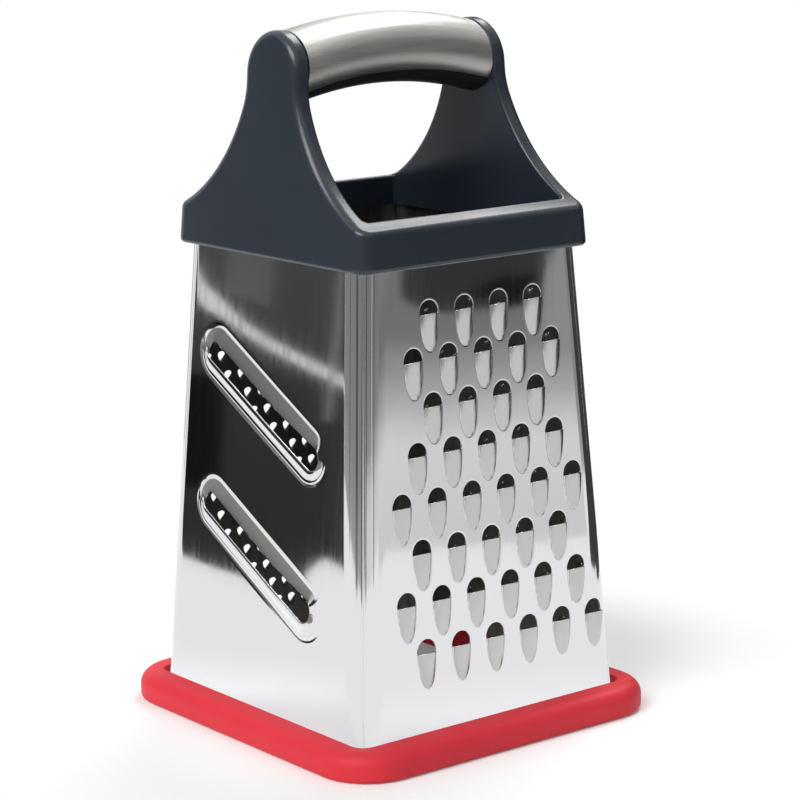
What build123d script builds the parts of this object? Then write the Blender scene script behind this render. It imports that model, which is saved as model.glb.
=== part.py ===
from build123d import *
import os
from math import atan, atan2, cos, degrees, radians, sin, sqrt

# Four-sided box grater: a tapered steel body with a different cutting face on
# each side, a plastic collar with two wings that carry a bowed handle, and a
# soft ring that the steel stands in.
# Millimetres. The origin is on the floor under the middle of the grater, +Z is
# up, the coarse face looks along -Y and the slicing face along -X.

os.makedirs("parts", exist_ok=True)

# Steel body, measured over the outside of the sheet
floor_width_x = 115.2
floor_width_y = 118.6
collar_width_x = 93.8
collar_width_y = 101.6
collar_level = 163.0
steel_bottom = 3.4
steel_top = 174.4
sheet = 0.6
steel_corner = 9.2
fit_clearance = 0.1
overrun = 5.0

# Base ring
ring_width_x = 134.6
ring_width_y = 139.8
ring_height = 9.9
ring_corner = 19.5
ring_top_round = 4.8
ring_foot_round = 2.2
ring_inner_lip = 4.2
ring_inner_bevel = 0.9
ring_inner_corner = 4.0
groove_outer_corner = 5.0
groove_clearance = 0.3
groove_floor_gap = 0.3

# Collar and its two wings, one moulding
collar_wall = 2.2
wing_thickness = 6.3
rail_depth = 7.0
wing_top = 237.5
neck_half_width = 14.3
neck_level = 220.8
upper_flare_radius = 22.8
upper_flare_turn = 22.0
lower_flare_radius = 64.7
lower_flare_turn = 46.8
collar_corner = 5.5
outer_edge_round = 2.9
bottom_edge_round = 1.6
inner_edge_round = 1.2
opening_corner = 1.6
skirt_level = 168.0
channel_top = 174.8

# Frame that locks the steel's top edge in the collar
frame_thickness = 1.5

# Handle: a bowed grip between the wings
grip_middle = 229.6
grip_bow_radius = 158.0
grip_half_width = 13.8
grip_half_height = 11.9
grip_side_radius = 10.6
sheath_thickness = 0.8
sheath_edge_angle = 37.0
sheath_edge_gap = 0.2
grip_sweep = 16.0
spigot_radius = 5.0
spigot_length = 3.0

# Coarse teeth: rows open out towards the floor as the body does
coarse_row_counts = (4, 5, 4, 5, 6, 5, 6, 6)
coarse_row_starts = (-3, -4, -3, -4, -5, -4, -5, -4)
coarse_top_row = 145.6
coarse_row_step = 15.0
coarse_row_step_growth = 0.3
coarse_column_step = 14.75
coarse_shift = 1.3
coarse_radius = 3.7
coarse_opening = 6.6
coarse_tongue = 10.8
coarse_rise = 2.8

# Slicing slots
slot_levels = (61.2, 113.6)
slot_shift = -1.8
slot_slant = 26.8
slot_length = 82.0
slot_width = 15.0
slot_lip_width = 3.8
slot_ramp_width = 5.6
slot_lip_rise = 1.8
slot_ramp_depth = 2.0

# Shredding holes on the back face
shred_step_x = 5.7
shred_step_z = 7.3
shred_width = 3.3
shred_top = 1.3
shred_tail = 2.6
shred_low = 26.0
shred_high = 150.0

# Zesting points on the right face
zest_step = 7.4
zest_point = 3.2
zest_rise = 1.4
zest_low = 26.0
zest_high = 150.0

face_margin = 12.0

lean_x = (floor_width_x - collar_width_x) / 2 / collar_level
lean_y = (floor_width_y - collar_width_y) / 2 / collar_level


def half_x(z):
    """Half the steel's outside width between the two side faces at a height."""
    return floor_width_x / 2 - lean_x * z


def half_y(z):
    """Half the steel's outside width from front to back at a height."""
    return floor_width_y / 2 - lean_y * z


def face_plane(side, growth=0):
    """The plane of a steel face, or of one that stands a growth outside it.

    Its origin is on the floor line, its X runs across the face and its Y up it."""
    places = {
        "front": ((0, -half_y(0) - growth, 0), (1, 0, 0), (0, -1, lean_y)),
        "back": ((0, half_y(0) + growth, 0), (-1, 0, 0), (0, 1, lean_y)),
        "left": ((-half_x(0) - growth, 0, 0), (0, -1, 0), (-1, 0, lean_x)),
        "right": ((half_x(0) + growth, 0, 0), (0, 1, 0), (1, 0, lean_x)),
    }
    origin, across, outward = places[side]
    return Plane(origin=origin, x_dir=across, z_dir=outward)


def tapered_block(low, high, growth_x, growth_y, corner):
    """A block that leans with the steel, from one height to another.

    Each growth is how far its faces stand outside the outside of the steel."""
    with BuildPart() as block:
        with Locations((0, 0, low)):
            Box(2 * (half_x(low) + growth_x), 2 * (half_y(low) + growth_y), high - low,
                align=(Align.CENTER, Align.CENTER, Align.MIN))
        for side in ("left", "right"):
            split(bisect_by=face_plane(side, growth_x), keep=Keep.BOTTOM)
        for side in ("front", "back"):
            split(bisect_by=face_plane(side, growth_y), keep=Keep.BOTTOM)
        leaning = [edge for edge in block.edges()
                   if edge.bounding_box().size.Z > (high - low) / 2]
        fillet(leaning, corner)
    return block.part


def across_sheet(lean):
    """The sheet's thickness measured square to a leaning face."""
    return sheet * cos(atan(lean))


def up_face(z, lean):
    """The distance up a leaning face to a height above the floor."""
    return z / cos(atan(lean))


# The steel wrap, cut into its four stamped faces at the middle of each corner
steel_wrap = tapered_block(steel_bottom, steel_top, 0, 0, steel_corner)
steel_hollow = tapered_block(
    steel_bottom - overrun, steel_top + overrun, -sheet, -sheet, steel_corner - sheet)


def mitre_plane(sign_x, sign_y):
    """The plane through the middle of one rounded corner of the steel."""
    foot = (sign_x * (half_x(0) - steel_corner), sign_y * (half_y(0) - steel_corner), 0)
    outward = Vector(sign_x, sign_y, 0)
    up_the_corner = Vector(-sign_x * lean_x, -sign_y * lean_y, 1)
    return Plane(origin=foot, x_dir=outward, z_dir=outward.cross(up_the_corner))


def blank_face(corner_a, corner_b):
    """One face of the steel body, between the middles of two corners."""
    with BuildPart() as blank:
        add(steel_wrap)
        add(steel_hollow, mode=Mode.SUBTRACT)
        split(bisect_by=mitre_plane(*corner_a), keep=Keep.BOTTOM)
        split(bisect_by=mitre_plane(*corner_b), keep=Keep.TOP)
    return blank.part


# Coarse tooth: a round bar tilted into the sheet, whose crest comes out as the
# raised tongue, and an arched opening above its cutting edge
def tongue_bar(radius):
    """The tilted bar of one tongue, on the face's plane, pointing down the face."""
    edge = Vector(0, 0, coarse_rise - coarse_radius)
    tip = Vector(0, -coarse_tongue, -coarse_radius)
    along = tip - edge
    with BuildPart(Plane(origin=edge, x_dir=(1, 0, 0), z_dir=along)) as bar:
        Cylinder(radius, along.length, align=(Align.CENTER, Align.CENTER, Align.MIN))
    return bar.part


with BuildPart() as tooth_tongue:
    add(tongue_bar(coarse_radius))
    split(bisect_by=Plane.XY.offset(-sheet / 2), keep=Keep.TOP)

with BuildPart() as tooth_cut:
    add(tongue_bar(coarse_radius - sheet))
    with BuildSketch(Plane.XY.offset(-overrun)):
        arch_centre = coarse_opening - coarse_radius
        with Locations((0, arch_centre / 2)):
            Rectangle(2 * coarse_radius, arch_centre)
        with Locations((0, arch_centre)):
            Circle(coarse_radius)
        with Locations((0, -coarse_radius)):
            Rectangle(2 * coarse_radius, 2 * coarse_radius, mode=Mode.SUBTRACT)
    extrude(amount=overrun + coarse_rise + overrun)

coarse_places = []
for row, (count, start) in enumerate(zip(coarse_row_counts, coarse_row_starts)):
    level = coarse_top_row - row * coarse_row_step - row * (row - 1) / 2 * coarse_row_step_growth
    for column in range(count):
        across = coarse_shift + (start / 2 + column) * coarse_column_step
        coarse_places.append((across, up_face(level, lean_y)))

with BuildPart() as coarse_panel:
    add(blank_face((-1, -1), (1, -1)))
    with Locations(face_plane("front")):
        with Locations(*coarse_places):
            add(tooth_tongue.part)
            add(tooth_cut.part, mode=Mode.SUBTRACT)
coarse_panel.part.label = "coarse_panel"

# Slicing face: each slot has its ramp pressed in above the opening and its
# blade lifted out below it
opening_width = slot_width - slot_lip_width - slot_ramp_width
opening_middle = (slot_lip_width - slot_ramp_width) / 2


def slot_form(inset, depth):
    """The tapered swelling that the press leaves round a slot, inwards or outwards."""
    with BuildPart() as form:
        with BuildSketch():
            SlotOverall(slot_length, slot_width)
        with BuildSketch(Plane.XY.offset(depth)):
            SlotOverall(slot_length - 2 * inset, slot_width - 2 * inset)
        loft(ruled=True)
    return form.part


def lower_part(form):
    """The part of a slot's swelling below the cutting edge."""
    edge = Plane.XZ.offset(-(opening_middle - opening_width / 2))
    with BuildPart() as piece:
        add(form)
        split(bisect_by=edge, keep=Keep.TOP)
    return piece.part


def upper_part(form):
    """The part of a slot's swelling above the opening."""
    edge = Plane.XZ.offset(-(opening_middle + opening_width / 2))
    with BuildPart() as piece:
        add(form)
        split(bisect_by=edge, keep=Keep.BOTTOM)
    return piece.part


blade_lip = lower_part(slot_form(slot_lip_width, slot_lip_rise))
slot_ramp = upper_part(slot_form(slot_ramp_width, -slot_ramp_depth))

with BuildPart() as slot_opening:
    with BuildSketch(Plane.XY.offset(-overrun)):
        with Locations((0, opening_middle)):
            SlotOverall(slot_length - 2 * slot_lip_width, opening_width)
    extrude(amount=2 * overrun)

slot_places = [(slot_shift, up_face(level, lean_x)) for level in slot_levels]
with BuildPart() as slicing_panel:
    add(blank_face((-1, 1), (-1, -1)))
    with Locations(face_plane("left")):
        for across, up in slot_places:
            with Locations(Location((across, up, 0), (0, 0, -slot_slant))):
                add(blade_lip)
                with Locations((0, 0, -across_sheet(lean_x))):
                    add(slot_ramp)
                    add(blade_lip, mode=Mode.SUBTRACT)
                add(slot_ramp, mode=Mode.SUBTRACT)
                add(slot_opening.part, mode=Mode.SUBTRACT)
slicing_panel.part.label = "slicing_panel"


def staggered_places(half_width, lean, low, high, step_across, step_up, spare):
    """Rows of places up a face, every other row shifted by half a step."""
    places = []
    rows = int((high - low) / step_up) + 1
    for row in range(rows):
        level = low + row * step_up
        reach = half_width(level) - face_margin - spare
        shift = step_across / 2 * (row % 2)
        columns = int((reach - shift) / step_across)
        first = -columns * step_across - shift
        while first <= reach:
            places.append((first, up_face(level, lean)))
            first += step_across
    return places


# Back face: small drop-shaped shredding holes
with BuildPart() as fine_panel:
    add(blank_face((1, 1), (-1, 1)))
    with BuildSketch(face_plane("back")):
        with Locations(*staggered_places(
                half_x, lean_y, shred_low, shred_high, shred_step_x, shred_step_z, 0)):
            Polygon((-shred_width / 2, 0), (0, -shred_tail), (shred_width / 2, 0),
                    (0, shred_top), align=None)
    extrude(amount=overrun, both=True, mode=Mode.SUBTRACT)
fine_panel.part.label = "fine_panel"

# Right face: small raised zesting points
with BuildPart() as zest_pyramid:
    with BuildSketch():
        Rectangle(zest_point, zest_point, rotation=45)
    loft(sections=[zest_pyramid.pending_faces[0], Vertex(0, 0, zest_rise)], clean=False)

with BuildPart() as zesting_panel:
    add(blank_face((1, -1), (1, 1)))
    with Locations(face_plane("right")):
        with Locations(*staggered_places(
                half_y, lean_x, zest_low, zest_high, zest_step, zest_step, 0)):
            add(zest_pyramid.part)
zesting_panel.part.label = "zesting_panel"


# Collar: the side view of the whole moulding, run through from side to side,
# then cut to its leaning outer faces and opened through the middle
collar_growth = fit_clearance + collar_wall
wing_top_centre = wing_top - neck_half_width

# The channel inside the collar that takes the steel's top edge and the frame
channel_inset = sheet + 2 * fit_clearance + frame_thickness
with BuildPart() as channel_form:
    add(tapered_block(
        skirt_level, channel_top, fit_clearance, fit_clearance, steel_corner + fit_clearance))
    add(tapered_block(
        skirt_level - overrun, channel_top + overrun, -channel_inset, -channel_inset,
        steel_corner - channel_inset), mode=Mode.SUBTRACT)
channel = channel_form.part


def grip_level(x):
    """The height of the middle of the bowed grip at a place between the wings."""
    return grip_middle - grip_bow_radius + sqrt(grip_bow_radius ** 2 - x ** 2)


def wing_inside(z):
    """The distance from the middle to a wing's inner face at a height."""
    return half_x(z) + collar_growth - wing_thickness


grip_end_level = grip_level(wing_inside(grip_middle))
grip_end = wing_inside(grip_end_level)


def spigot_seat(side):
    """The plane of a wing's inner face where the handle's spigot enters it."""
    return Plane(origin=(side * grip_end, 0, grip_end_level), x_dir=(0, 1, 0),
                 z_dir=(side, 0, 0))


with BuildPart() as collar:
    with BuildSketch(Plane.YZ.offset(-half_x(0))):
        with BuildLine():
            Line((0, wing_top_centre), (0, wing_top))
            CenterArc((0, wing_top_centre), neck_half_width, 90, -90)
            Line((neck_half_width, wing_top_centre), (neck_half_width, neck_level))
            upper_flare = JernArc((neck_half_width, neck_level), (0, -1), upper_flare_radius,
                                  upper_flare_turn)
            lower_flare = JernArc(upper_flare @ 1, upper_flare % 1, lower_flare_radius,
                                  lower_flare_turn)
            shoulder = PolarLine(lower_flare @ 1, rail_depth + overrun,
                                 direction=lower_flare % 1)
            Polyline(shoulder @ 1, ((shoulder @ 1).X, collar_level), (0, collar_level),
                     (0, wing_top_centre))
        make_face()
        mirror(about=Plane.YZ)
    extrude(amount=2 * half_x(0))
    for side in ("left", "right", "front", "back"):
        split(bisect_by=face_plane(side, collar_growth), keep=Keep.BOTTOM)
    uprights = [edge for edge in collar.edges()
                if edge.bounding_box().min.Z < collar_level + sheet
                and edge.bounding_box().size.Z > collar_wall]
    fillet(uprights, collar_corner)
    outer_rim = [edge for edge in collar.edges()
                 if edge.bounding_box().min.Z > channel_top
                 and (edge.bounding_box().size.X < wing_thickness
                      or abs(edge.center().Y) > half_y(collar_level))]
    fillet(outer_rim, outer_edge_round)
    fillet(collar.faces().sort_by(Axis.Z)[0].edges(), bottom_edge_round)
    add(tapered_block(
        collar_level - overrun, wing_top + overrun, collar_growth - wing_thickness,
        collar_growth - rail_depth, opening_corner), mode=Mode.SUBTRACT)
    inner_rim = [edge for edge in collar.edges()
                 if edge.bounding_box().min.Z > skirt_level
                 and abs(edge.center().X) < wing_inside(edge.center().Z) + sheet
                 and abs(edge.center().Y) < half_y(edge.center().Z)
                 + collar_growth - rail_depth + sheet]
    fillet(inner_rim, inner_edge_round)
    add(tapered_block(
        collar_level - overrun, skirt_level, fit_clearance, fit_clearance,
        steel_corner + fit_clearance), mode=Mode.SUBTRACT)
    add(channel, mode=Mode.SUBTRACT)
    for side in (-1, 1):
        with Locations(spigot_seat(side)):
            with Locations((0, 0, -overrun)):
                Cylinder(spigot_radius + fit_clearance, overrun + spigot_length + fit_clearance,
                         align=(Align.CENTER, Align.CENTER, Align.MIN), mode=Mode.SUBTRACT)
collar.part.label = "collar"

# Retaining frame: fills the collar's channel inside the steel, so that the
# steel's top edge is held between the two
frame_growth = -sheet - fit_clearance
with BuildPart() as retaining_frame:
    add(tapered_block(
        skirt_level, steel_top, frame_growth, frame_growth, steel_corner + frame_growth))
    add(tapered_block(
        skirt_level - overrun, steel_top + overrun, frame_growth - frame_thickness,
        frame_growth - frame_thickness, steel_corner + frame_growth - frame_thickness),
        mode=Mode.SUBTRACT)
retaining_frame.part.label = "retaining_frame"

# Handle: an oval grip bowed upwards between the wings, with a steel sheath over
# its top and a plastic core that shows along its underside
grip_side_centre = grip_half_width - grip_side_radius
grip_side_spare = grip_half_height - grip_side_radius
grip_top_centre = (grip_side_centre ** 2 - grip_side_spare ** 2) / 2 / grip_side_spare
grip_top_radius = grip_half_height + grip_top_centre
grip_blend = degrees(atan2(grip_top_centre, grip_side_centre))


def grip_oval(inset):
    """The grip's section, an oval of four arcs, set in evenly from its outside."""
    with BuildSketch() as oval:
        with BuildLine():
            for side in (0, 180):
                middle = grip_side_centre * cos(radians(side))
                CenterArc((middle, 0), grip_side_radius - inset, side - grip_blend,
                          2 * grip_blend)
                middle = -grip_top_centre * cos(radians(side))
                CenterArc((0, middle), grip_top_radius - inset, side + grip_blend,
                          180 - 2 * grip_blend)
        make_face()
    return oval.sketch


grip_axis = Axis((0, 0, grip_middle - grip_bow_radius), (0, 1, 0))
grip_start = Plane(
    origin=(-grip_bow_radius * sin(radians(grip_sweep)), 0,
            grip_middle - grip_bow_radius * (1 - cos(radians(grip_sweep)))),
    x_dir=(0, 1, 0), z_dir=(cos(radians(grip_sweep)), 0, sin(radians(grip_sweep))))
sheath_edge = -grip_half_height * sin(radians(sheath_edge_angle))


def trim_to_wings(grip):
    """The length of the grip that fits between the wings."""
    with BuildPart() as trimmed:
        add(grip)
        for side in ("left", "right"):
            split(bisect_by=face_plane(side, collar_growth - wing_thickness - fit_clearance),
                  keep=Keep.BOTTOM)
    return trimmed.part


with BuildPart() as handle_sheath:
    with BuildSketch(grip_start):
        add(grip_oval(0))
        add(grip_oval(sheath_thickness), mode=Mode.SUBTRACT)
        with Locations((0, sheath_edge)):
            Rectangle(2 * grip_half_width, 2 * grip_half_height,
                      align=(Align.CENTER, Align.MAX), mode=Mode.SUBTRACT)
    revolve(axis=grip_axis, revolution_arc=2 * grip_sweep)
    handle_sheath.part = trim_to_wings(handle_sheath.part)
handle_sheath.part.label = "handle_sheath"

with BuildPart() as grip_core:
    with BuildSketch(grip_start):
        add(grip_oval(0))
        with Locations((0, sheath_edge - sheath_edge_gap)):
            Rectangle(2 * grip_half_width, 2 * grip_half_height,
                      align=(Align.CENTER, Align.MIN), mode=Mode.SUBTRACT)
        add(grip_oval(sheath_thickness + fit_clearance))
    revolve(axis=grip_axis, revolution_arc=2 * grip_sweep)

with BuildPart() as handle_core:
    add(trim_to_wings(grip_core.part))
    for side in (-1, 1):
        with Locations(spigot_seat(side)):
            with Locations((0, 0, -overrun)):
                Cylinder(spigot_radius, overrun + spigot_length,
                         align=(Align.CENTER, Align.CENTER, Align.MIN))
handle_core.part.label = "handle_core"

# Base ring: soft moulding with an upright groove that the steel stands in
groove_floor = steel_bottom - groove_floor_gap
groove_outer_x = half_x(steel_bottom) + groove_clearance
groove_outer_y = half_y(steel_bottom) + groove_clearance
groove_inner_x = half_x(ring_height) - sheet - groove_clearance
groove_inner_y = half_y(ring_height) - sheet - groove_clearance
with BuildPart() as base_ring:
    with BuildSketch():
        RectangleRounded(ring_width_x, ring_width_y, ring_corner)
    extrude(amount=ring_height)
    fillet(base_ring.faces().sort_by(Axis.Z)[-1].edges(), ring_top_round)
    fillet(base_ring.faces().sort_by(Axis.Z)[0].edges(), ring_foot_round)
    with BuildSketch():
        RectangleRounded(2 * (groove_inner_x - ring_inner_lip), 2 * (groove_inner_y - ring_inner_lip),
                         ring_inner_corner)
    extrude(amount=ring_height, mode=Mode.SUBTRACT)
    chamfer(base_ring.faces().sort_by(Axis.Z)[-1].inner_wires()[0].edges(), ring_inner_bevel)
    chamfer(base_ring.faces().sort_by(Axis.Z)[0].inner_wires()[0].edges(), ring_inner_bevel)
    with BuildSketch(Plane.XY.offset(groove_floor)):
        RectangleRounded(2 * groove_outer_x, 2 * groove_outer_y, groove_outer_corner)
        RectangleRounded(2 * groove_inner_x, 2 * groove_inner_y, steel_corner - sheet,
                         mode=Mode.SUBTRACT)
    extrude(amount=ring_height, mode=Mode.SUBTRACT)
base_ring.part.label = "base_ring"

export_step(coarse_panel.part, "parts/coarse_panel.step")
export_step(slicing_panel.part, "parts/slicing_panel.step")
export_step(fine_panel.part, "parts/fine_panel.step")
export_step(zesting_panel.part, "parts/zesting_panel.step")
export_step(collar.part, "parts/collar.step")
export_step(retaining_frame.part, "parts/retaining_frame.step")
export_step(handle_core.part, "parts/handle_core.step")
export_step(handle_sheath.part, "parts/handle_sheath.step")
export_step(base_ring.part, "parts/base_ring.step")
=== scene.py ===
from math import acos, atan, cos, pi, radians, sin, sqrt

import bmesh
import bpy
from mathutils import Matrix, Vector


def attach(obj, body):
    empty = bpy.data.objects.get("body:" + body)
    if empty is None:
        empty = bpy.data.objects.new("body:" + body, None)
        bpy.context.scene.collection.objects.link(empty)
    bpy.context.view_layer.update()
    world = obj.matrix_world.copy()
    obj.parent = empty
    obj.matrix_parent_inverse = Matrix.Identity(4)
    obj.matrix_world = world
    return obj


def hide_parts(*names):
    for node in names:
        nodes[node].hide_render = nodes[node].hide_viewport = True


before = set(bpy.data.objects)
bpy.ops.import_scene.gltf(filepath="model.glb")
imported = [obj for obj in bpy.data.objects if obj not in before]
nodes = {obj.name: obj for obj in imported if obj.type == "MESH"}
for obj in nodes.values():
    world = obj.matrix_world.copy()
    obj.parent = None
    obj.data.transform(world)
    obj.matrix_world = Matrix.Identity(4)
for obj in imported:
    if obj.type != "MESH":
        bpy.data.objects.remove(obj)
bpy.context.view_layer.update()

# Steel body
# Four faces of thin stainless steel, stamped and polished, closed round the
# corners. The collar holds their top edge and the ring's groove their foot.
mm = 0.001


def from_hex(text):
    """An sRGB hex value as the linear colour that the shaders take."""
    channels = [int(text[place:place + 2], 16) / 255 for place in (0, 2, 4)]
    linear = [c / 12.92 if c <= 0.04045 else ((c + 0.055) / 1.055) ** 2.4 for c in channels]
    return (*linear, 1)


def start_material(name):
    """A new material by name, its node tree and its shader."""
    material = bpy.data.materials.new(name)
    material.use_nodes = True
    tree = material.node_tree
    return material, tree, tree.nodes["Principled BSDF"]


def fill(tree, node, inputs):
    """Fills a node's inputs with values or links them to other nodes' outputs."""
    for name, value in inputs.items():
        if isinstance(value, bpy.types.NodeSocket):
            tree.links.new(value, node.inputs[name])
        else:
            node.inputs[name].default_value = value


def put(tree, kind, inputs, **settings):
    """Adds a node with its settings, and fills its inputs."""
    node = tree.nodes.new(kind)
    for name, value in settings.items():
        setattr(node, name, value)
    fill(tree, node, inputs)
    return node


def uneven_skin(tree, place, size, detail, height, below=None):
    """Hills and hollows of a size and a height on a surface: their noise and their normal."""
    noise = put(tree, "ShaderNodeTexNoise", {"Vector": place, "Scale": 1 / size,
                                             "Detail": detail}).outputs["Fac"]
    bump = put(tree, "ShaderNodeBump", {"Height": noise, "Distance": height})
    if below is not None:
        fill(tree, bump, {"Normal": below})
    return noise, bump.outputs["Normal"]


# Stainless steel, cold rolled and polished: a mirror that is a little wavy where
# the sheet was stretched, with faint lines that run up it. Real lines are a tenth
# as wide, too fine to show.
steel_wave = 85 * mm
steel_wave_height = 0.22 * mm
steel_ripple = 17 * mm
smooth_ripple_height = 0.002 * mm
punched_ripple_height = 0.05 * mm
roll_line = 1.6 * mm
roll_line_height = 0.0006 * mm
roll_line_squeeze = (1, 1, 0.04)
polish_roughness = (0.05, 0.08)
drawn_roughness = 0.4
# Most of a noise lies between these
noise_low = 0.3
noise_high = 0.7


def polish_steel(name, ripple_height):
    """Polished stainless steel with ripples round its punched holes."""
    material, tree, shader = start_material(name)
    place = put(tree, "ShaderNodeTexCoord", {}).outputs["Object"]
    wavy = uneven_skin(tree, place, steel_wave, 1.0, steel_wave_height)[1]
    rippled = uneven_skin(tree, place, steel_ripple, 1.0, ripple_height, wavy)[1]
    upright = put(tree, "ShaderNodeMapping", {"Vector": place, "Scale": roll_line_squeeze})
    lines, lined = uneven_skin(tree, upright.outputs["Vector"], roll_line, 3.0,
                               roll_line_height, rippled)
    gloss = put(tree, "ShaderNodeMapRange", {
        "Value": lines, "From Min": noise_low, "From Max": noise_high,
        "To Min": polish_roughness[0], "To Max": polish_roughness[1]})
    # Where the press drew the sheet the mirror is lost and it is dull. The darker tone there is
    # painted shade, which stands in for the darker things that the tongues and slot ramps mirror.
    drawn_and_shade = put(tree, "ShaderNodeAttribute", {}, attribute_name="drawn_and_shade").outputs["Fac"]
    roughness = put(tree, "ShaderNodeMapRange", {
        "Value": drawn_and_shade, "To Min": gloss.outputs["Result"], "To Max": drawn_roughness})
    tone = put(tree, "ShaderNodeValToRGB", {"Fac": drawn_and_shade})
    tone.color_ramp.elements[0].color = from_hex("E3E3E5")
    tone.color_ramp.elements[1].color = from_hex("868482")
    fill(tree, shader, {"Metallic": 1, "Base Color": tone.outputs["Color"],
                        "Roughness": roughness.outputs["Result"], "Normal": lined})
    return material


smooth_steel = polish_steel("polished_stainless_steel", smooth_ripple_height)
rippled_steel = polish_steel("rippled_stainless_steel", punched_ripple_height)

# The inside of the same sheet is not polished: dull, darker, and it shows no picture
inside_line_height = 0.01 * mm
inside_line_squeeze = (1, 1, 0.06)
dull_steel, tree, shader = start_material("unpolished_steel_inside")
place = put(tree, "ShaderNodeTexCoord", {}).outputs["Object"]
upright = put(tree, "ShaderNodeMapping", {"Vector": place, "Scale": inside_line_squeeze})
lines, lined = uneven_skin(tree, upright.outputs["Vector"], roll_line, 3.0, inside_line_height)
tone = put(tree, "ShaderNodeValToRGB", {"Fac": lines})
tone.color_ramp.elements[0].color = from_hex("646260")
tone.color_ramp.elements[1].color = from_hex("8A8885")
fill(tree, shader, {"Metallic": 1, "Base Color": tone.outputs["Color"], "Roughness": 0.45,
                    "Normal": lined})

# The body tapers: half its width each way, and the corners' round
floor_half_x = 57.6
floor_half_y = 59.3
lean_x = 0.06564
lean_y = 0.05215
steel_bottom = 3.4
steel_top = 174.4
sheet = 0.6
steel_corner = 9.2
corner_steps = 8
# The share of its thickness that the sheet keeps at a ground cutting edge
ground_thickness = 0.15
# A narrow row of faces along the top and the foot
edge_strip = 0.5
# Points nearer than this are joined
join_distance = 0.004
# Edges shorter than this are taken out
shortest_edge = 0.001
# Points nearer than this to a cut lie on it
cut_distance = 0.0001


def half_x(z):
    """Half the steel's width between the side faces at a height."""
    return floor_half_x - lean_x * z


def half_y(z):
    """Half the steel's width from front to back at a height."""
    return floor_half_y - lean_y * z


# Each face as seen from outside: half its width, the lean of the faces beside
# it, its own distance from the middle, its own lean and its turn about Z
faces = {
    "front": (half_x, lean_x, floor_half_y, lean_y, 0),
    "right": (half_y, lean_y, floor_half_x, lean_x, 90),
    "back": (half_x, lean_x, floor_half_y, lean_y, 180),
    "left": (half_y, lean_y, floor_half_x, lean_x, -90),
}


def up_face(z, lean):
    """The distance up a leaning face to a height."""
    return z / cos(atan(lean))


def band(form, around, steps, place_at, outer=None, ground=None, drawn_and_shade=None):
    """A band of faces that goes round or across, and outwards, point by point."""
    for vert in bmesh.ops.create_grid(form, x_segments=around, y_segments=steps, size=1)["verts"]:
        turn = round((vert.co.x + 1) / 2 * around)
        step = round((vert.co.y + 1) / 2 * steps)
        vert.co = place_at(turn, step)
        if outer and step == steps:
            vert[outer] = 1
        if ground and step == 0:
            vert[ground][0] = 1
        if drawn_and_shade:
            layer, drawn_and_shade_at = drawn_and_shade
            vert[layer] = drawn_and_shade_at(turn, step)


def finish_piece(name, form, *materials):
    """Makes a smooth mesh object of a bmesh, at the origin, with its materials."""
    mesh = bpy.data.meshes.new(name)
    form.to_mesh(mesh)
    form.free()
    piece = bpy.data.objects.new(name, mesh)
    bpy.context.scene.collection.objects.link(piece)
    for material in materials:
        mesh.materials.append(material)
    mesh.shade_smooth()
    return piece


def cut_across(form, place, direction):
    """Cuts the sheet along a line, and keeps both sides."""
    bmesh.ops.bisect_plane(form, geom=form.verts[:] + form.edges[:] + form.faces[:],
                           dist=cut_distance, plane_co=place, plane_no=direction)


def side_edge(side):
    """How much a face's side edge leans in, and how long it is for each length up the face."""
    _, lean_beside, _, lean, _ = faces[side]
    taper = lean_beside * cos(atan(lean))
    return taper, sqrt(1 + taper ** 2)


def corner_run(side):
    """The length of sheet from a corner's start to its middle."""
    _, lean_beside, _, lean, _ = faces[side]
    return steel_corner * acos(sin(atan(lean)) * sin(atan(lean_beside))) / 2


def fill_blank(form, outer, side):
    """Fills the flat sheet from the pressed shapes to the edges of its blank."""
    half_width, _, _, lean, _ = faces[side]
    rims = [edge for edge in form.edges
            if edge.is_boundary and edge.verts[0][outer] and edge.verts[1][outer]]
    added = (corner_run(side) - steel_corner) * side_edge(side)[1]
    corners = bmesh.ops.create_grid(form, x_segments=1, y_segments=1, size=1)["verts"]
    for vert in corners:
        level = steel_top if vert.co.y > 0 else steel_bottom
        reach = half_width(level) + added
        vert.co = Vector((reach if vert.co.x > 0 else -reach, up_face(level, lean), 0))
    blank = corners[0].link_faces[0]
    rims += list(blank.edges)
    bmesh.ops.delete(form, geom=[blank], context="FACES_ONLY")
    bmesh.ops.triangle_fill(form, use_beauty=True, edges=rims, normal=(0, 0, 1))
    bmesh.ops.dissolve_degenerate(form, dist=shortest_edge, edges=form.edges)
    for level in (up_face(steel_bottom, lean) + edge_strip, up_face(steel_top, lean) - edge_strip):
        cut_across(form, (0, level, 0), (0, 1, 0))


def bend_corners(form, side):
    """Bends the flat sheet round half of each corner beside it."""
    half_width, *_ = faces[side]
    taper, slope = side_edge(side)
    for hand in (-1, 1):
        beyond = Vector((hand, taper, 0)).normalized()
        line = Vector((hand * (half_width(0) - steel_corner * slope), 0, 0))
        for step in range(-1, corner_steps):
            cut_across(form, line + corner_run(side) * step / corner_steps * beyond, beyond)
        for vert in form.verts:
            past = (vert.co - line).dot(beyond)
            if past > 0:
                angle = past / steel_corner
                radius = steel_corner + vert.co.z
                on_line = Vector((vert.co.x, vert.co.y, 0)) - past * beyond
                vert.co = on_line + radius * sin(angle) * beyond
                vert.co.z = radius * cos(angle) - steel_corner


def stand_up(form, side):
    """Leans the bent sheet, turns it to its side of the body, and makes it metres."""
    _, _, distance, lean, turn = faces[side]
    tilt = atan(lean)
    across = Vector((1, 0, 0))
    up = Vector((0, sin(tilt), cos(tilt)))
    outward = Vector((0, -cos(tilt), sin(tilt)))
    stand = (Matrix.Rotation(radians(turn), 4, "Z") @ Matrix.Translation((0, -distance, 0))
             @ Matrix((across, up, outward)).transposed().to_4x4())
    bmesh.ops.transform(form, matrix=Matrix.Scale(mm, 4) @ stand, verts=form.verts)


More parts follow.
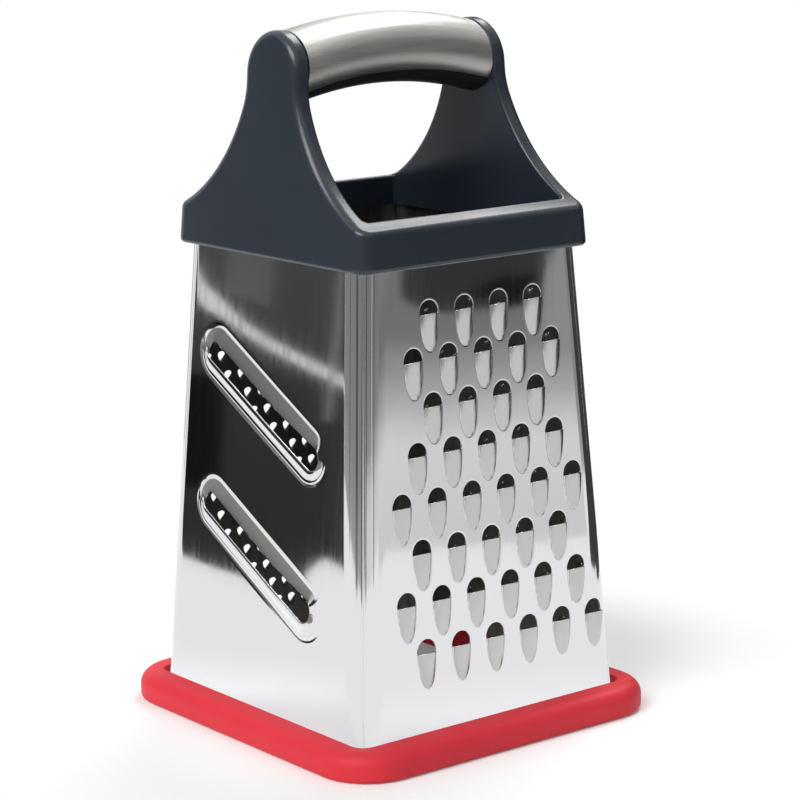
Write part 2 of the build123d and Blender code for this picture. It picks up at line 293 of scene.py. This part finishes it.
def stamped_sheet(name, node, side, press, polished):
    """One face of the body: pressed flat, then bent round half of each corner beside it."""
    _, _, _, lean, _ = faces[side]
    form = bmesh.new()
    outer = form.verts.layers.int.new("outer")
    # How far the sheet is drawn at each point: there the shader makes it dull, and darkens it with
    # painted shade
    form.verts.layers.float.new("drawn_and_shade")
    form.verts.layers.deform.verify()
    press(form, outer, lean)
    bmesh.ops.remove_doubles(form, verts=form.verts, dist=join_distance)
    fill_blank(form, outer, side)
    bend_corners(form, side)
    bmesh.ops.remove_doubles(form, verts=form.verts, dist=join_distance)
    bmesh.ops.recalc_face_normals(form, faces=form.faces)
    if sum(face.normal.z * face.calc_area() for face in form.faces) < 0:
        bmesh.ops.reverse_faces(form, faces=form.faces)
    stand_up(form, side)
    piece = finish_piece(name, form, polished, dull_steel)
    piece.vertex_groups.new(name="ground_edge")
    shell = piece.modifiers.new("sheet", "SOLIDIFY")
    shell.thickness = sheet * mm
    shell.offset = -1
    shell.material_offset = 1
    shell.material_offset_rim = 0
    shell.vertex_group = "ground_edge"
    shell.invert_vertex_group = True
    shell.thickness_vertex_group = ground_thickness
    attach(piece, "grater")
    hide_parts(node)


# Coarse face
# Eight staggered rows of teeth, punched and drawn out of the stainless sheet.
# Each has an arched opening and, under its ground cutting edge, a round tongue
# that runs down into the sheet.
tooth_row_counts = (4, 5, 4, 5, 6, 5, 6, 6)
tooth_row_starts = (-3, -4, -3, -4, -5, -4, -5, -4)
tooth_top_row = 145.6
tooth_row_step = 15.0
tooth_row_growth = 0.3
tooth_column_step = 14.75
tooth_shift = 1.3
tooth_half_width = 3.7
tooth_opening = 4.8
# How far a cutting edge lies above the level of its row
tooth_raise = 1.8
arch_steps = 14
tongue_length = 12.0
tongue_rise = 2.8
# How late the tongue narrows, how its crest falls, and how round it is across
tongue_taper = 2.8
tongue_fall = 1.25
tongue_round = 0.75
tongue_columns = 12
tongue_rows = 12
# A second row close to the cutting edge keeps the ground strip narrow
ground_row = 0.08
tongue_steps = (0, ground_row, *range(1, tongue_rows + 1))
# How much of its mirror a drawn tongue has lost, and how much painted shade darkens it
tongue_drawn_and_shade = 0.45
edge_bow = 0.8
# The sheet's fall into an opening: distances out from its edge, with the heights.
# The cutting edge starts at the lowest.
die_roll = ((0, -0.06), (0.18, -0.02), (0.4, 0), (0.7, 0))
edge_height = die_roll[0][1]


def tongue_outline(row):
    """The half width and the level of the tongue's side at a row from its cutting edge."""
    share = sin(pi / 2 * row / tongue_rows)
    return tooth_half_width * sqrt(max(0, 1 - share ** tongue_taper)), -tongue_length * share


tooth_outline = [Vector(tongue_outline(row)) for row in reversed(tongue_steps)]
arch_middle = tooth_opening - tooth_half_width
tooth_outline.append(Vector((tooth_half_width, arch_middle / 2)))
for step in range(arch_steps + 1):
    turn = pi * step / arch_steps
    tooth_outline.append(Vector((tooth_half_width * cos(turn),
                                 arch_middle + tooth_half_width * sin(turn))))
tooth_outline.append(Vector((-tooth_half_width, arch_middle / 2)))
for row in tongue_steps:
    half, down = tongue_outline(row)
    tooth_outline.append(Vector((-half, down)))


def outwards(outline, number):
    """The direction out of a closed outline, run anticlockwise, at one of its points."""
    last = len(outline) - 1
    before = outline[number - 1] if number > 0 else outline[last - 1]
    after = outline[number + 1] if number < last else outline[1]
    along = (after - before).normalized()
    return Vector((along.y, -along.x))


def press_teeth(form, outer, lean):
    """The coarse teeth on the face's plane."""
    for row, (count, start) in enumerate(zip(tooth_row_counts, tooth_row_starts)):
        level = tooth_top_row - row * tooth_row_step - row * (row - 1) / 2 * tooth_row_growth
        for column in range(count):
            across = tooth_shift + (start / 2 + column) * tooth_column_step
            edge = Vector((across, up_face(level, lean) + tooth_raise, 0))

            def rim_at(number, step):
                away, height = die_roll[step]
                point = tooth_outline[number] + away * outwards(tooth_outline, number)
                return edge + Vector((point.x, point.y, height))

            def tongue_at(number, step):
                side = sin(pi / 2 * (2 * number / tongue_columns - 1))
                half, down = tongue_outline(tongue_steps[step])
                share = -down / tongue_length
                crest = (tongue_rise - edge_height) * (1 - share ** tongue_fall)
                height = edge_height + crest * (1 - side ** 2) ** tongue_round
                bow = edge_bow * (1 - side ** 2) * (1 - share) ** 2
                return edge + Vector((side * half, down + bow, height))

            band(form, len(tooth_outline) - 1, len(die_roll) - 1, rim_at, outer)
            band(form, tongue_columns, len(tongue_steps) - 1, tongue_at,
                 ground=form.verts.layers.deform.active,
                 drawn_and_shade=(form.verts.layers.float["drawn_and_shade"], lambda number, step: tongue_drawn_and_shade))


stamped_sheet("coarse_sheet", "coarse_panel", "front", press_teeth, rippled_steel)

# Slicing face
# Two slanted slots in the stainless sheet. It is pressed in above each opening
# as a ramp for the slice, and lifted out below it as the blade.
slot_levels = (61.2, 113.6)
slot_shift = -1.8
slot_slant = radians(26.8)
# Each outline: its end's middle along the slot, its middle across and half its width
slot_openings = ((28.9, -0.8, 3.3), (31.3, -0.8, 3.3))
slot_break = (29.8, 0.35, 8.75)
slot_rim = (30.2, 0.7, 10.9)
slot_left_reach = 31.4
# The opening is wider towards its right end: from where, and by how much
slot_widening_start = 0.3
slot_widening = (1.1, 0.7)
# How far an edge shifts across the sheet for each millimetre that it stands out
slot_skew = Vector((0.995, 0.803))
slot_lip_rise = 0.75
slot_lip_flat = 0.22
slot_lip_fall = 0.66
slot_bevel = 0.2
slot_ramp_depth = 2.0
slot_ramp_end = 29.0
slot_ramp_fade = 5.0
slot_round_depth = 0.35
slot_groove = 0.16
slot_bow = 0.8
# Where lip and ramp meet round the ends, and how far that moves round the left one
slot_meeting = 0.5
slot_left_turn = 0.3
slot_end_steps = 24
slot_side_steps = 40
slot_shares = (0, 0.045, 0.09, 0.16, 0.24, 0.33, 0.42, 0.51, 0.6, 0.69, 0.78, 0.86, 0.93, 1)
slot_round = (0.13, 0.26, 0.39, 0.52, 0.65, 0.78, 1)


def slot_run():
    """The points round a slot: where each one's middle lies along it, and its direction."""
    run = []
    for end in (1, -1):
        for step in range(slot_end_steps + 1):
            turn = pi * step / slot_end_steps - pi / 2 + (pi if end < 0 else 0)
            run.append((end, turn))
        for step in range(1, slot_side_steps):
            run.append((end * (1 - 2 * step / slot_side_steps), pi / 2 * end))
    run.append(run[0])
    return run


def ease(share):
    """A share from 0 to 1 that starts and ends level."""
    share = min(1, max(0, share))
    return share * share * (3 - 2 * share)


def slot_outline(shape, along, turn):
    """A point of one of a slot's rounded outlines."""
    reach, middle, half = shape
    return Vector((along * reach + half * cos(turn), middle + half * sin(turn)))


def opening_outline(opening, along, turn):
    """A point of an opening's edge: round on the right, and squarer at the left end."""
    reach, middle, half = opening
    up = sin(turn)
    if along > -1:
        wider = max(0, (along - slot_widening_start) / (1 - slot_widening_start))
        middle += wider * slot_widening[0]
        half += wider * slot_widening[1]
        return slot_outline((reach, middle, half), along, turn)
    return Vector((-slot_left_reach - half * sqrt(abs(cos(turn))),
                   middle + half * sqrt(abs(up)) * (1 if up > 0 else -1)))


def lip_and_ramp(along, turn):
    """How much of the lifted lip and of the pressed-in ramp there is at a point round a slot."""
    left = slot_left_turn * min(0, along)
    lip = ease(slot_meeting - sin(turn) + left)
    ramp = ease(slot_meeting + sin(turn) - left)
    if along == 1:
        past = slot_outline(slot_break, along, turn).x - slot_ramp_end
        ramp *= 1 - ease(past / slot_ramp_fade)
    return lip, ramp


def press_slots(form, outer, lean):
    """The slicing slots on the face's plane."""
    run = slot_run()

    # How far a point of the ramp is drawn, which also darkens it with painted shade
    def drawn_and_shade_at(number, step):
        pressed = 1 < step < len(slot_shares) - 1
        return lip_and_ramp(*run[number])[1] if pressed else 0

    for level, opening in zip(slot_levels, slot_openings):
        def slot_at(number, step):
            along, turn = run[number]
            lip, ramp = lip_and_ramp(along, turn)
            lift = lip * slot_lip_rise - ramp * slot_ramp_depth
            start = opening_outline(opening, along, turn) + lift * slot_skew
            crease = slot_outline(slot_break, along, turn)
            if step < len(slot_shares):
                share = slot_shares[step]
                point = start.lerp(crease, share)
                fall = ease((share - slot_lip_flat) / slot_lip_fall)
                depth = slot_ramp_depth - (slot_ramp_depth - slot_round_depth) * share
                height = lip * slot_lip_rise * (1 - fall) - ramp * depth
                if step == 0:
                    height -= slot_bevel
            else:
                share = slot_round[step - len(slot_shares)]
                point = crease.lerp(slot_outline(slot_rim, along, turn), share)
                level_share = min(1, share / slot_round[-2])
                height = (-ramp * slot_round_depth * (1 - level_share) ** 2
                          - lip * slot_groove * sin(pi * level_share) ** 2)
                if share == 1:
                    point += slot_bow * (1 - along ** 2) * Vector((cos(turn), sin(turn)))
            x = slot_shift + point.x * cos(slot_slant) + point.y * sin(slot_slant)
            y = up_face(level, lean) - point.x * sin(slot_slant) + point.y * cos(slot_slant)
            return Vector((x, y, height))

        band(form, len(run) - 1, len(slot_shares) + len(slot_round) - 1, slot_at, outer,
             drawn_and_shade=(form.verts.layers.float["drawn_and_shade"], drawn_and_shade_at))


stamped_sheet("slicing_sheet", "slicing_panel", "left", press_slots, smooth_steel)

# Shredding face
# Staggered rows of small drop-shaped holes, punched through the stainless sheet,
# each with its lower edge pressed out to cut.
face_margin = 12.0
small_rows_low = 26
small_rows_high = 150


def staggered_places(half_width, lean, step_across, step_up):
    """Rows of places up a face, every other row shifted by half a step."""
    for row in range(int((small_rows_high - small_rows_low) / step_up) + 1):
        level = small_rows_low + row * step_up
        reach = half_width(level) - face_margin
        shift = step_across / 2 * (row % 2)
        first = -int((reach - shift) / step_across) * step_across - shift
        while first <= reach:
            yield Vector((first, up_face(level, lean), 0))
            first += step_across


shred_step_x = 5.7
shred_step_z = 7.3
shred_half_width = 1.65
shred_top = 1.3
shred_tail = 2.6
shred_narrowing = 0.4
shred_rise = 0.8
shred_points = 12
# Each ring round a hole: its size, and its share of the pressed-out edge's rise
shred_rings = ((1.0, 1.0), (1.22, 0.35), (1.42, 0), (1.55, 0))


def press_drops(form, outer, lean):
    """The shredding holes on the face's plane."""
    for spot in staggered_places(half_x, lean, shred_step_x, shred_step_z):
        def drop_at(number, step):
            turn = 2 * pi * (number % shred_points) / shred_points
            growth, lift = shred_rings[step]
            low = max(0, -sin(turn))
            x = shred_half_width * cos(turn) * (1 - shred_narrowing * low)
            y = sin(turn) * (shred_tail if low else shred_top)
            return spot + Vector((x * growth, y * growth, shred_rise * lift * low))

        band(form, shred_points, len(shred_rings) - 1, drop_at, outer)


stamped_sheet("fine_sheet", "fine_panel", "back", press_drops, rippled_steel)

# Zesting face
# Staggered rows of small pierced points. A pointed punch bursts the stainless
# sheet from inside, which leaves a crown of four spikes round each hole.
zest_step = 7.4
zest_points = 8
# Each ring round a hole: its radius, and its height at a spike and between two
zest_rings = ((0.75, 1.35, 0.85), (1.15, 0.7, 0.6), (1.8, 0.1, 0.1), (2.15, 0, 0), (2.4, 0, 0))


def press_points(form, outer, lean):
    """The zesting points on the face's plane."""
    for spot in staggered_places(half_y, lean, zest_step, zest_step):
        def point_at(number, step):
            turn = 2 * pi * (number % zest_points) / zest_points
            radius, spike, dip = zest_rings[step]
            return spot + Vector((radius * cos(turn), radius * sin(turn),
                                  dip if number % 2 else spike))

        band(form, zest_points, len(zest_rings) - 1, point_at, outer)


stamped_sheet("zesting_sheet", "zesting_panel", "right", press_points, rippled_steel)

# Collar
# One moulding of glass-filled nylon or ABS with two wings that carry the grip.
# It is pressed down over the top edge of the steel.


def dress(name, material):
    """Gives one of the CAD's pieces its material."""
    for slot in nodes[name].material_slots:
        slot.material = material


# A satin moulded skin: its grain softens the highlights, and its tone and gloss
# drift a little. A real mould's grain is about a fifth of this, too fine to show.
grain = 0.7 * mm
grain_height = 0.012 * mm
collar_cloud = 45 * mm
collar_roughness = (0.22, 0.3)
slate_plastic, tree, shader = start_material("moulded_slate_plastic")
place = put(tree, "ShaderNodeTexCoord", {}).outputs["Object"]
grained = uneven_skin(tree, place, grain, 3.0, grain_height)[1]
cloud = put(tree, "ShaderNodeTexNoise", {"Vector": place, "Scale": 1 / collar_cloud,
                                         "Detail": 2.0})
tone = put(tree, "ShaderNodeValToRGB", {"Fac": cloud.outputs["Fac"]})
tone.color_ramp.elements[0].color = from_hex("232A33")
tone.color_ramp.elements[1].color = from_hex("28303A")
gloss = put(tree, "ShaderNodeMapRange", {"Value": cloud.outputs["Fac"],
                                         "To Min": collar_roughness[0],
                                         "To Max": collar_roughness[1]})
fill(tree, shader, {"Base Color": tone.outputs["Color"], "Roughness": gloss.outputs["Result"],
                    "Normal": grained})
dress("collar", slate_plastic)

# Retaining frame and handle core
# Black plastic, moulded: the frame locks the steel in the collar, and the core is
# the inside of the grip, seen as a dark dull band along its underside.
black_plastic, tree, shader = start_material("moulded_black_plastic")
place = put(tree, "ShaderNodeTexCoord", {}).outputs["Object"]
speckle, grained = uneven_skin(tree, place, grain, 3.0, grain_height)
tone = put(tree, "ShaderNodeValToRGB", {"Fac": speckle})
tone.color_ramp.elements[0].color = from_hex("15171A")
tone.color_ramp.elements[1].color = from_hex("1D2023")
fill(tree, shader, {"Base Color": tone.outputs["Color"], "Roughness": 0.45, "Normal": grained})
dress("retaining_frame", black_plastic)
dress("handle_core", black_plastic)

# Handle sheath
# Stainless sheet rolled round the top of the grip and brushed from end to end,
# so its light spreads round the grip and fine lines run along it. Real brushing
# is about three times as fine, too fine to show.
brush_line = 0.35 * mm
brush_height = 0.006 * mm
brush_squeeze = (0.012, 1, 1)
brush_roughness = (0.33, 0.43)
brushed_steel, tree, shader = start_material("brushed_stainless_steel")
place = put(tree, "ShaderNodeTexCoord", {}).outputs["Object"]
lengthwise = put(tree, "ShaderNodeMapping", {"Vector": place, "Scale": brush_squeeze})
brushing, brushed = uneven_skin(tree, lengthwise.outputs["Vector"], brush_line, 4.0,
                                brush_height)
gloss = put(tree, "ShaderNodeMapRange", {
    "Value": brushing, "From Min": noise_low, "From Max": noise_high,
    "To Min": brush_roughness[0], "To Max": brush_roughness[1]})
tone = put(tree, "ShaderNodeValToRGB", {"Fac": brushing})
tone.color_ramp.elements[0].color = from_hex("A8A5A2")
tone.color_ramp.elements[1].color = from_hex("D0CECA")
fill(tree, shader, {"Metallic": 1, "Base Color": tone.outputs["Color"],
                    "Roughness": gloss.outputs["Result"], "Normal": brushed})
dress("handle_sheath", brushed_steel)

# Base ring
# Soft red elastomer, moulded in one piece, that the steel's foot is pushed
# into. It has a dull, slightly powdery skin, with its grain drawn coarser than
# the real one so that it shows.
skin_grain = 0.9 * mm
skin_height = 0.02 * mm
ring_cloud = 30 * mm
soft_red, tree, shader = start_material("moulded_red_elastomer")
place = put(tree, "ShaderNodeTexCoord", {}).outputs["Object"]
powdery = uneven_skin(tree, place, skin_grain, 3.0, skin_height)[1]
cloud = put(tree, "ShaderNodeTexNoise", {"Vector": place, "Scale": 1 / ring_cloud,
                                         "Detail": 2.0})
tone = put(tree, "ShaderNodeValToRGB", {"Fac": cloud.outputs["Fac"]})
tone.color_ramp.elements[0].color = from_hex("D9323E")
tone.color_ramp.elements[1].color = from_hex("E03944")
fill(tree, shader, {"Base Color": tone.outputs["Color"], "Roughness": 0.5,
                    "Specular IOR Level": 0.2, "Normal": powdery})
dress("base_ring", soft_red)
# The photographed steel mirrors the floor down to its foot and not the ring
nodes["base_ring"].visible_glossy = False

# Studio
# A white floor that keeps the object's shadow, a white surround, two soft
# lamps, and cards that stand round the object for the polished steel to mirror.


def seen_rays(tree):
    """1 for the rays that show the floor or the surround, and 0 for those that light by it."""
    light_path = put(tree, "ShaderNodeLightPath", {})
    seen = light_path.outputs["Is Camera Ray"]
    for kind in ("Is Glossy Ray", "Is Transmission Ray"):
        seen = put(tree, "ShaderNodeMath", {0: seen, 1: light_path.outputs[kind]},
                   operation="MAXIMUM").outputs[0]
    return seen


# Matt white paint round the object, which fades to plain white further out. Where
# it is seen it is lifted a little, so that its shadow is as pale as the photograph's.
floor_reach = 6.0
floor_fade_start = 0.105
floor_fade_end = 0.175
floor_lift = 0.12
studio_white, tree, shader = start_material("studio_floor")
output = tree.nodes["Material Output"]
tree.nodes.remove(shader)
place = put(tree, "ShaderNodeTexCoord", {}).outputs["Object"]
distance = put(tree, "ShaderNodeVectorMath", {0: place}, operation="LENGTH")
fade = put(tree, "ShaderNodeMapRange", {"Value": distance.outputs["Value"],
                                        "From Min": floor_fade_start, "From Max": floor_fade_end},
           interpolation_type="SMOOTHSTEP")
seen = seen_rays(tree)
far_white = put(tree, "ShaderNodeMath", {0: fade.outputs["Result"], 1: seen},
                operation="MULTIPLY")
paint = put(tree, "ShaderNodeBsdfDiffuse", {"Color": from_hex("F4F4F4")})
lift = put(tree, "ShaderNodeEmission", {"Color": from_hex("FFFFFF"), "Strength": floor_lift})
lifted = put(tree, "ShaderNodeAddShader", {0: paint.outputs[0], 1: lift.outputs[0]})
near = put(tree, "ShaderNodeMixShader", {"Fac": seen, 1: paint.outputs[0], 2: lifted.outputs[0]})
white = put(tree, "ShaderNodeEmission", {"Color": from_hex("FFFFFF"), "Strength": 1.0})
surface = put(tree, "ShaderNodeMixShader", {"Fac": far_white.outputs[0], 1: near.outputs[0],
                                            2: white.outputs[0]})
fill(tree, output, {"Surface": surface.outputs[0]})

form = bmesh.new()
bmesh.ops.create_grid(form, x_segments=8, y_segments=8, size=floor_reach)
floor = finish_piece("studio_floor", form, studio_white)
# The ring stands on the floor, also where it is pulled off the grater above it
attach(floor, "ring")


def facing(direction):
    """The directions outwards and across for what stands at an angle round the object."""
    outward = Vector((cos(radians(direction)), sin(radians(direction)), 0))
    return outward, Vector((-outward.y, outward.x, 0))


def show_in_reflections(piece):
    """Keeps a card out of the camera's view and out of the light on the object."""
    piece.visible_camera = False
    piece.visible_diffuse = False
    piece.visible_shadow = False


# Cards round the object, seen only in the steel: each is a curved edge on the
# floor, a foot and an upright, facing the middle
card_foot = 0.5
card_height = 560


def stand_card(name, direction, edge, distance, top, material):
    """A card across a direction from the middle, in from its foot to the edge on the floor."""
    form = bmesh.new()
    outward, across = facing(direction)
    rows = ((None, card_foot), (distance, card_foot), (distance, top))

    def card_at(column, row):
        away, height = rows[row]
        side, near = edge[column]
        away = near if away is None else away
        return (away * outward + side * across + Vector((0, 0, height))) * mm

    band(form, len(edge) - 1, len(rows) - 1, card_at)
    card = finish_piece(name, form, material)
    show_in_reflections(card)


def straight_edge(half, near):
    """A card's edge on the floor where it is straight, from its half width and its distance."""
    return (-half, near), (0, near), (half, near)


def card_material(name, tones):
    """What a card or strip glows with: tones of grey at heights above the floor, in metres."""
    material, tree, shader = start_material(name)
    output = tree.nodes["Material Output"]
    tree.nodes.remove(shader)
    place = put(tree, "ShaderNodeTexCoord", {}).outputs["Object"]
    height = put(tree, "ShaderNodeSeparateXYZ", {"Vector": place}).outputs["Z"]
    share = put(tree, "ShaderNodeMapRange", {"Value": height, "From Max": card_height * mm})
    ramp = put(tree, "ShaderNodeValToRGB", {"Fac": share.outputs["Result"]})
    stops = ramp.color_ramp.elements
    while len(stops) < len(tones):
        stops.new(0.5)
    for stop, (level, tone) in zip(stops, tones):
        stop.position = level / (card_height * mm)
        stop.color = (tone, tone, tone, 1)
    glow = put(tree, "ShaderNodeEmission", {"Color": ramp.outputs["Color"], "Strength": 1.0})
    fill(tree, output, {"Surface": glow.outputs[0]})
    return material


dark_card = card_material("dark_card", ((0.0, 0.03), (0.07, 0.038), (0.1, 0.06), (0.25, 0.09)))
grey_card = card_material("grey_card", ((0.0, 0.72), (0.05, 0.8), (0.075, 0.45), (0.1, 0.21),
                                        (0.118, 0.2), (0.14, 0.24), (0.35, 0.26), (0.56, 0.24)))
front_card = card_material("front_card", ((0.0, 0.78), (0.04, 0.72), (0.075, 0.3), (0.12, 0.22),
                                          (0.3, 0.18), (0.56, 0.2)))
shade_card = card_material("shade_card", ((0.0, 0.05), (0.04, 0.05), (0.56, 0.08)))
side_card = card_material("side_card", ((0.0, 0.42), (0.055, 0.28), (0.15, 0.24), (0.56, 0.22)))
dim_card = card_material("dim_card", ((0.0, 0.25), (0.055, 0.1), (0.56, 0.1)))

left_direction = 129
left_distance = 430
left_edge = ((-60, 460), (-20, 362), (-7, 350), (12, 321), (28, 300), (38, 268),
             (44, 262), (50, 330), (56, 372), (66, 349), (74, 340))
stand_card("left_card", left_direction, left_edge, left_distance, card_height, dark_card)
right_direction = -52.5
right_distance = 420
right_edge = ((-300, 419), (0, 419), (34, 419))
stand_card("right_card", right_direction, right_edge, right_distance, card_height, grey_card)

# A ring of cards further out, each with its direction, its half width, the
# distance of its edge on the floor and its tone
far_distance = 621
far_cards = ((150, 150, 620, side_card), (177, 150, 620, side_card), (-156, 150, 620, side_card),
             (-128, 150, 620, front_card), (-100, 150, 620, front_card), (-42, 70, 620, side_card),
             (-22, 150, 330, shade_card), (6, 150, 260, shade_card), (34, 150, 260, shade_card))
for number, (direction, half, near, material) in enumerate(far_cards):
    stand_card(f"far_card_{number}", direction, straight_edge(half, near), far_distance,
               card_height, material)

# Narrow cards before them, which break up what the corners mirror: each with its
# direction, its half width and its tone
narrow_edge = 560
narrow_distance = 561
narrow_height = 620
narrow_cards = ((-167, 40, dim_card), (-148, 26, dim_card), (-133, 10, dark_card),
                (-106, 12, dim_card), (163, 14, dim_card), (62, 20, dark_card),
                (92, 26, dark_card), (112, 10, dark_card))
for number, (direction, half, material) in enumerate(narrow_cards):
    stand_card(f"narrow_card_{number}", direction, straight_edge(half, narrow_edge),
               narrow_distance, narrow_height, material)


def hang_strip(name, direction, distance, line, material):
    """A strip of light or shade before a card, through points across it, with its half height."""
    form = bmesh.new()
    outward, across = facing(direction)

    def strip_at(column, row):
        side, height, half = line[column]
        level = height + half * (2 * row - 1)
        return (distance * outward + side * across + Vector((0, 0, level))) * mm

    band(form, len(line) - 1, 1, strip_at)
    strip = finish_piece(name, form, material)
    show_in_reflections(strip)


# What the slicing face mirrors above its upper slot and beside its front corner.
# Each strip hangs 4 to 6 mm before its card, and none touches another.
light_strip = card_material("light_strip", ((0.0, 0.78), (0.25, 0.78)))
deep_patch = card_material("deep_patch", ((0.0, 0.008), (0.25, 0.008)))
mid_patch = card_material("mid_patch", ((0.0, 0.12), (0.25, 0.12)))
pale_patch = card_material("pale_patch", ((0.0, 0.34), (0.25, 0.3)))
light_band = ((-60, 150, 6), (-30, 132, 6), (-18, 119, 7), (-12.8, 111.5, 6), (-4.8, 107, 4.4),
              (2.5, 101.5, 3.4), (8.7, 97, 3), (17.8, 91.7, 2.8), (27.8, 87.3, 2.8),
              (37.6, 83.8, 2.8), (45.5, 81.1, 2.8), (57.4, 76.4, 2.8), (75, 72, 2.8))
left_patch = ((-48, 46, 27), (-6, 46, 27), (0, 44, 24))
grey_patch = ((-4, 128, 12), (19, 120, 12))
light_line = ((51, 93, 36), (53.5, 93, 36))
hang_strip("light_band", left_direction, left_distance - 5, light_band, light_strip)
hang_strip("left_patch", left_direction, left_distance - 4, left_patch, deep_patch)
hang_strip("grey_patch", left_direction, left_distance - 4, grey_patch, mid_patch)
hang_strip("light_line", left_direction, left_distance - 6, light_line, pale_patch)

# What the coarse face mirrors above its top teeth
black_patch = card_material("black_patch", ((0.0, 0.037), (0.25, 0.037)))
wide_patch = ((-54, 170, 52), (-42, 170, 58), (-30, 170, 59.5), (9.5, 170, 58), (13, 180.5, 47.5),
              (17, 183, 45), (24, 190, 38))
patch_core = ((-24, 120, 1), (-14, 120.5, 3.5), (-4.5, 119.5, 7), (9.5, 119.5, 8))
pale_side = ((9, 160, 68), (40, 160, 68))
hang_strip("black_patch", right_direction, right_distance - 5, wide_patch, black_patch)
hang_strip("patch_core", right_direction, right_distance - 6, patch_core, deep_patch)
hang_strip("pale_patch", right_direction, right_distance - 4, pale_side, pale_patch)

# What the grip's sheath mirrors above, a grey part of the ceiling
high_grey = card_material("high_grey", ((0.0, 0.5), (0.25, 0.5)))
high_direction = -20
high_distance = 400
high_card = ((-400, 640, 150), (400, 640, 150))
hang_strip("high_card", high_direction, high_distance, high_card, high_grey)

# Lamps: a large one high on the left and a smaller one behind on the right, each
# with its place and size in metres and its power in watts
lamp_aim = Vector((0, 0, 0.12))
lamps = (("left_lamp", Vector((-1.2, -0.35, 1.15)), 1.0, 22.5),
         ("right_lamp", Vector((0.95, 0.45, 1.45)), 0.8, 13.5))
for name, spot, size, power in lamps:
    data = bpy.data.lights.new(name, "AREA")
    data.shape = "SQUARE"
    data.size = size
    data.energy = power
    lamp = bpy.data.objects.new(name, data)
    lamp.location = spot
    lamp.rotation_euler = (lamp_aim - spot).to_track_quat("-Z", "Y").to_euler()
    bpy.context.scene.collection.objects.link(lamp)

# The surround is plain white where it is seen, and lights the object less than that
surround_light = 0.24
world = bpy.data.worlds.new("white_studio")
bpy.context.scene.world = world
world.use_nodes = True
tree = world.node_tree
level = put(tree, "ShaderNodeMapRange", {"Value": seen_rays(tree), "To Min": surround_light,
                                         "To Max": 1.0})
fill(tree, tree.nodes["Background"], {"Color": from_hex("FFFFFF"),
                                      "Strength": level.outputs["Result"]})

# Camera: the photograph's angle, distance, lens and slight roll
camera_azimuth = radians(-38.11)
camera_elevation = radians(11.82)
camera_roll = radians(-0.88)
camera_distance = 894.7 * mm
camera_target = Vector((-29.0, -46.1, 119.5)) * mm
back = Vector((sin(camera_azimuth) * cos(camera_elevation),
               -cos(camera_azimuth) * cos(camera_elevation), sin(camera_elevation)))
camera_data = bpy.data.cameras.new("camera")
camera_data.lens = 123.8
camera_data.sensor_width = 36
camera_data.clip_start = 0.01
camera_data.clip_end = 50
camera = bpy.data.objects.new("camera", camera_data)
camera.location = camera_target + back * camera_distance
camera.rotation_mode = "QUATERNION"
turn = (-back).to_track_quat("-Z", "Y")
camera.rotation_quaternion = turn @ Matrix.Rotation(camera_roll, 3, "Z").to_quaternion()
bpy.context.scene.collection.objects.link(camera)
bpy.context.scene.camera = camera
bpy.context.scene.view_settings.view_transform = "Standard"
